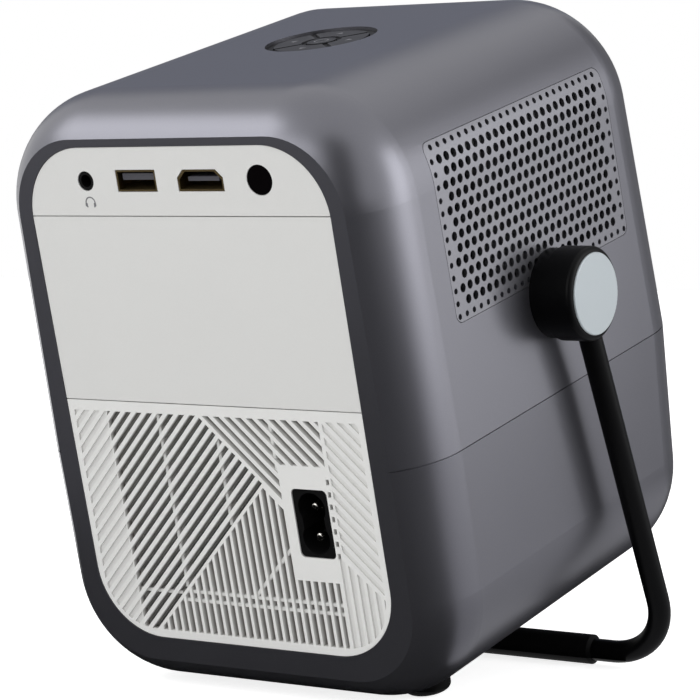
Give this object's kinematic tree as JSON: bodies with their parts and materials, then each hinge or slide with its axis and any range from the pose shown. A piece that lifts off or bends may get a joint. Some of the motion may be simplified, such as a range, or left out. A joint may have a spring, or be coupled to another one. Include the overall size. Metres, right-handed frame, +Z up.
{
  "type": "portable projector with disc tray",
  "caption": "Portable projector with a sliding disc tray: rounded grey housing with side grilles, rear sockets and slotted vent, leaning on a swinging U-shaped stand.",
  "frame": {"origin": "middle of the bounding box, on the surface the part stands on", "axes": "+Z up, -Y the way the lens and the disc tray face, +Y the rear with the sockets, +X to the right of someone looking at the lens side"},
  "size_m": [0.16, 0.1722, 0.1948],
  "materials": {
    "housing_paint": "satin gunmetal grey metallic lacquer",
    "grille_paint": "satin grey metallic lacquer on perforated sheet",
    "panel_white": "fine matt off-white",
    "front_gloss": "polished black",
    "ring_dark": "satin near-black",
    "key_dark": "satin near-black",
    "stand_black": "satin black lacquer",
    "cap_silver": "fine satin anodised",
    "rubber_black": "matt",
    "plastic_black": "matt black",
    "window_dark": "dark infrared window",
    "nickel": "nickel plate",
    "board_green": "solder mask",
    "part_dark": "moulded components",
    "sheet_steel": "bright zinc",
    "heatsink_metal": "plain extruded",
    "lens_glass": "coated"
  },
  "bodies": {
    "housing": {"audio_jack": "plastic_black", "chassis_plate": "sheet_steel", "condenser_lens": "lens_glass", "data_socket": "nickel", "engine_case": "plastic_black", "fan_frame": "plastic_black", "feet": "rubber_black", "foot_screws": "sheet_steel", "fresnel_lenses": "lens_glass", "front_panel": "front_gloss", "grille_left": "grille_paint", "grille_right": "grille_paint", "hub_bases": "stand_black", "inlet_body": "plastic_black", "inlet_pins": "nickel", "ir_receiver": "part_dark", "ir_window": "window_dark", "keypad_board": "board_green", "keypad_plate": "key_dark", "lcd_panel": "lens_glass", "led_board": "board_green", "led_heatsink": "heatsink_metal", "lens_bezel": "ring_dark", "loader_chassis": "sheet_steel", "loader_cover": "sheet_steel", "lower_housing": "housing_paint", "main_board": "board_green", "port_panel": "panel_white", "power_board": "board_green", "power_parts": "part_dark", "rear_cover": "panel_white", "rear_vent": "panel_white", "socket_tongues": "plastic_black", "speaker_left": "plastic_black", "speaker_right": "plastic_black", "upper_housing": "housing_paint", "video_socket": "nickel"},
    "stand": {"stand_frame": "stand_black", "stand_sleeve": "rubber_black", "hub_heads": "stand_black", "hub_caps": "cap_silver", "pivot_shafts": "sheet_steel"},
    "disc_tray": {"disc_tray": "plastic_black", "tray_bezel": "housing_paint", "spindle_motor": "sheet_steel", "sled_rods": "sheet_steel"},
    "tray_rails": {"tray_rails": "sheet_steel"},
    "spindle": {"turntable": "plastic_black"},
    "pickup": {"pickup_sled": "plastic_black"},
    "fan": {"fan_rotor": "plastic_black"},
    "focus_ring": {"focus_ring": "ring_dark"},
    "lens_barrel": {"lens_barrel": "plastic_black", "front_lens": "lens_glass", "rear_lens": "lens_glass"},
    "key_ok": {"key_ok": "key_dark"},
    "key_right": {"key_right": "key_dark"},
    "key_back": {"key_back": "key_dark"},
    "key_left": {"key_left": "key_dark"},
    "key_front": {"key_front": "key_dark"},
    "eject_button": {"eject_button": "key_dark"}
  },
  "joints": [
    {"name": "stand_swing", "type": "hinge", "parent": "housing", "child": "stand", "pos_m": [0, -0.00258, 0.11155], "axis": [-1, 0, 0], "range_deg": [-29, 168.7]},
    {"name": "tray_slide", "type": "slide", "parent": "housing", "child": "disc_tray", "axis": [0, -0.9669, 0.2552], "range_m": [0, 0.127]},
    {"name": "rails_slide", "type": "slide", "parent": "housing", "child": "tray_rails", "axis": [0, -0.9669, 0.2552], "range_m": [0, 0.0635]},
    {"name": "spindle_spin", "type": "hinge", "parent": "disc_tray", "child": "spindle", "pos_m": [0, -0.01928, 0.04397], "axis": [0, 0.2552, 0.9669], "continuous": true},
    {"name": "pickup_slide", "type": "slide", "parent": "disc_tray", "child": "pickup", "axis": [0.7071, -0.6837, 0.1805], "range_m": [0, 0.034]},
    {"name": "fan_spin", "type": "hinge", "parent": "housing", "child": "fan", "pos_m": [0.012, 0.04904, 0.06027], "axis": [0, 0.9669, -0.2552], "continuous": true},
    {"name": "focus_turn", "type": "hinge", "parent": "housing", "child": "focus_ring", "pos_m": [0, -0.06669, 0.14295], "axis": [0, -0.9669, 0.2552], "range_deg": [0, 90]},
    {"name": "barrel_slide", "type": "slide", "parent": "housing", "child": "lens_barrel", "axis": [0, -0.9669, 0.2552], "range_m": [0, 0.005]},
    {"name": "key_ok_press", "type": "slide", "parent": "housing", "child": "key_ok", "axis": [0, -0.2552, -0.9669], "range_m": [0, 0.0006], "stiffness_N_per_m": 500},
    {"name": "key_right_press", "type": "slide", "parent": "housing", "child": "key_right", "axis": [0, -0.2552, -0.9669], "range_m": [0, 0.0006], "stiffness_N_per_m": 500},
    {"name": "key_back_press", "type": "slide", "parent": "housing", "child": "key_back", "axis": [0, -0.2552, -0.9669], "range_m": [0, 0.0006], "stiffness_N_per_m": 500},
    {"name": "key_left_press", "type": "slide", "parent": "housing", "child": "key_left", "axis": [0, -0.2552, -0.9669], "range_m": [0, 0.0006], "stiffness_N_per_m": 500},
    {"name": "key_front_press", "type": "slide", "parent": "housing", "child": "key_front", "axis": [0, -0.2552, -0.9669], "range_m": [0, 0.0006], "stiffness_N_per_m": 500},
    {"name": "eject_press", "type": "slide", "parent": "disc_tray", "child": "eject_button", "axis": [0, 0.9669, -0.2552], "range_m": [0, 0.0008], "stiffness_N_per_m": 500}
  ],
  "couplings": [
    {"joint": "rails_slide", "follows": "tray_slide", "ratio": 0.5},
    {"joint": "barrel_slide", "follows": "focus_turn", "m_per_rad": 0.0031831}
  ]
}
